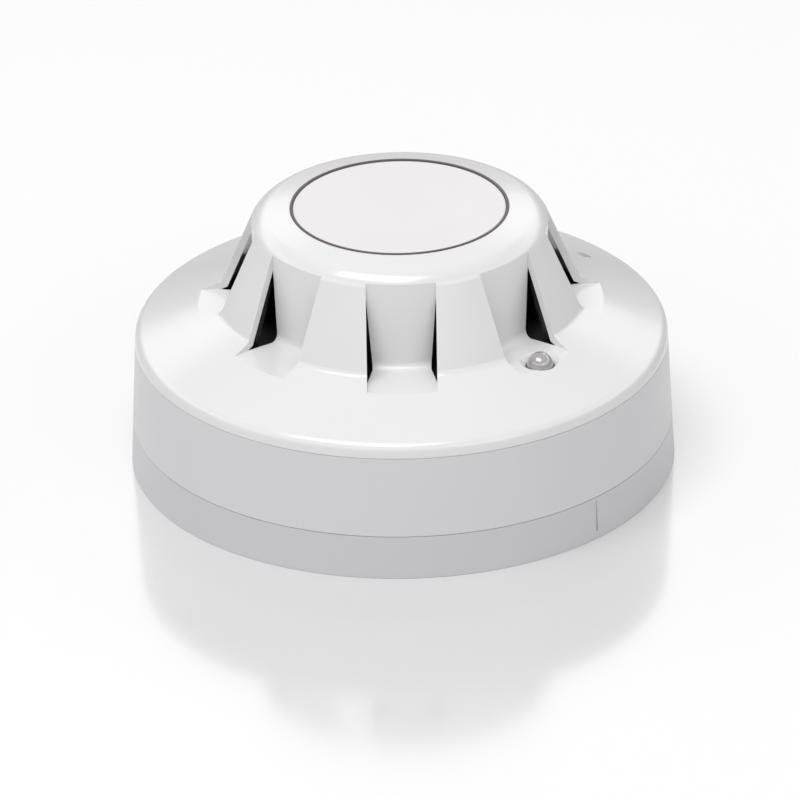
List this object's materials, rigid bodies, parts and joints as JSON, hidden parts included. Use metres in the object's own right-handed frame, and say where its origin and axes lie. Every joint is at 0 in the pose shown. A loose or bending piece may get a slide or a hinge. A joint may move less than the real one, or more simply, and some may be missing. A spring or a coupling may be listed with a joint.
{
  "type": "point heat detector",
  "caption": "Ceiling heat detector: a white domed head with recessed side vents and an indicator, which twists onto a round wired mounting base.",
  "frame": {"origin": "centre of the back face of the base, on the ceiling side", "axes": "+Z out of the base along the dome's axis, -Y towards the front, +X to the right, with the indicator between -Y and +X"},
  "size_m": [0.1, 0.1, 0.05],
  "materials": {
    "white_moulding": "glossy white polycarbonate",
    "cap_white": "satin white polycarbonate",
    "accent_grey": "satin warm grey",
    "black_moulding": "matt black polycarbonate",
    "seal_rubber": "soft matt rubber",
    "spring_steel": "rolled stainless strip",
    "screw_steel": "zinc plated",
    "lock_steel": "black oxide",
    "rivet_brass": "tin and brass",
    "led_lens": "clear epoxy lens",
    "thermistor_epoxy": "dipped epoxy bead",
    "board_green": "solder mask over glass laminate",
    "chip_black": "moulded epoxy",
    "ceramic_tan": "sintered ceramic",
    "can_aluminium": "drawn can",
    "reed_glass": "glass capsule"
  },
  "bodies": {
    "base": {"base_moulding": "white_moulding", "terminal_strip_1": "spring_steel", "terminal_strip_2": "spring_steel", "terminal_strip_3": "spring_steel", "terminal_strip_4": "spring_steel", "terminal_strip_5": "spring_steel"},
    "rim_seal": {"rim_seal": "seal_rubber"},
    "head": {"head_body": "white_moulding", "dome_cover": "white_moulding", "cap_disc": "cap_white", "accent_ring": "accent_grey", "vent_guard": "black_moulding", "indicator_led": "led_lens", "led_frame": "spring_steel", "sensing_thermistor": "thermistor_epoxy", "thermistor_leads": "spring_steel", "thermistor_support": "black_moulding", "reference_thermistor": "thermistor_epoxy", "circuit_board": "board_green", "detector_chip": "chip_black", "chip_legs": "spring_steel", "supply_capacitor": "can_aluminium", "timing_capacitor": "can_aluminium", "surge_diodes": "chip_black", "output_transistor": "chip_black", "chip_resistors": "chip_black", "chip_capacitors": "ceramic_tan", "reed_switch": "reed_glass", "contact_blade_1": "spring_steel", "contact_blade_2": "spring_steel", "contact_blade_3": "spring_steel", "contact_blade_4": "spring_steel", "contact_rivets": "rivet_brass", "contact_pins": "rivet_brass", "board_screws": "screw_steel"},
    "lock_screw": {"lock_screw": "lock_steel"},
    "clamp_1": {"clamp_plate_1": "screw_steel"},
    "screw_1": {"terminal_screw_1": "screw_steel"},
    "clamp_2": {"clamp_plate_2": "screw_steel"},
    "screw_2": {"terminal_screw_2": "screw_steel"},
    "clamp_3": {"clamp_plate_3": "screw_steel"},
    "screw_3": {"terminal_screw_3": "screw_steel"},
    "clamp_4": {"clamp_plate_4": "screw_steel"},
    "screw_4": {"terminal_screw_4": "screw_steel"},
    "clamp_5": {"clamp_plate_5": "screw_steel"},
    "screw_5": {"terminal_screw_5": "screw_steel"}
  },
  "joints": [
    {"name": "head_lift", "type": "slide", "parent": "base", "child": "rim_seal", "axis": [0, 0, 1], "range_m": [0, 0.03]},
    {"name": "head_turn", "type": "hinge", "parent": "rim_seal", "child": "head", "pos_m": [0, 0, 0.009], "axis": [0, 0, -1], "range_deg": [0, 20]},
    {"name": "lock_screw_drive", "type": "slide", "parent": "head", "child": "lock_screw", "axis": [0, 0, -1], "range_m": [0, 0.003]},
    {"name": "clamp_1_travel", "type": "slide", "parent": "base", "child": "clamp_1", "axis": [0, 0, 1], "range_m": [0, 0.0012]},
    {"name": "terminal_screw_1_turn", "type": "hinge", "parent": "clamp_1", "child": "screw_1", "pos_m": [0.0145, -0.02511, 0.005], "axis": [0, 0, 1], "range_deg": [0, 720]},
    {"name": "clamp_2_travel", "type": "slide", "parent": "base", "child": "clamp_2", "axis": [0, 0, 1], "range_m": [0, 0.0012]},
    {"name": "terminal_screw_2_turn", "type": "hinge", "parent": "clamp_2", "child": "screw_2", "pos_m": [0.0145, 0.02511, 0.005], "axis": [0, 0, 1], "range_deg": [0, 720]},
    {"name": "clamp_3_travel", "type": "slide", "parent": "base", "child": "clamp_3", "axis": [0, 0, 1], "range_m": [0, 0.0012]},
    {"name": "terminal_screw_3_turn", "type": "hinge", "parent": "clamp_3", "child": "screw_3", "pos_m": [-0.0145, 0.02511, 0.005], "axis": [0, 0, 1], "range_deg": [0, 720]},
    {"name": "clamp_4_travel", "type": "slide", "parent": "base", "child": "clamp_4", "axis": [0, 0, 1], "range_m": [0, 0.0012]},
    {"name": "terminal_screw_4_turn", "type": "hinge", "parent": "clamp_4", "child": "screw_4", "pos_m": [-0.0145, -0.02511, 0.005], "axis": [0, 0, 1], "range_deg": [0, 720]},
    {"name": "clamp_5_travel", "type": "slide", "parent": "base", "child": "clamp_5", "axis": [0, 0, 1], "range_m": [0, 0.0012]},
    {"name": "terminal_screw_5_turn", "type": "hinge", "parent": "clamp_5", "child": "screw_5", "pos_m": [0, -0.029, 0.005], "axis": [0, 0, 1], "range_deg": [0, 720]}
  ],
  "couplings": [
    {"joint": "terminal_screw_1_turn", "follows": "clamp_1_travel", "rad_per_m": 10472},
    {"joint": "terminal_screw_2_turn", "follows": "clamp_2_travel", "rad_per_m": 10472},
    {"joint": "terminal_screw_3_turn", "follows": "clamp_3_travel", "rad_per_m": 10472},
    {"joint": "terminal_screw_4_turn", "follows": "clamp_4_travel", "rad_per_m": 10472},
    {"joint": "terminal_screw_5_turn", "follows": "clamp_5_travel", "rad_per_m": 10472}
  ]
}
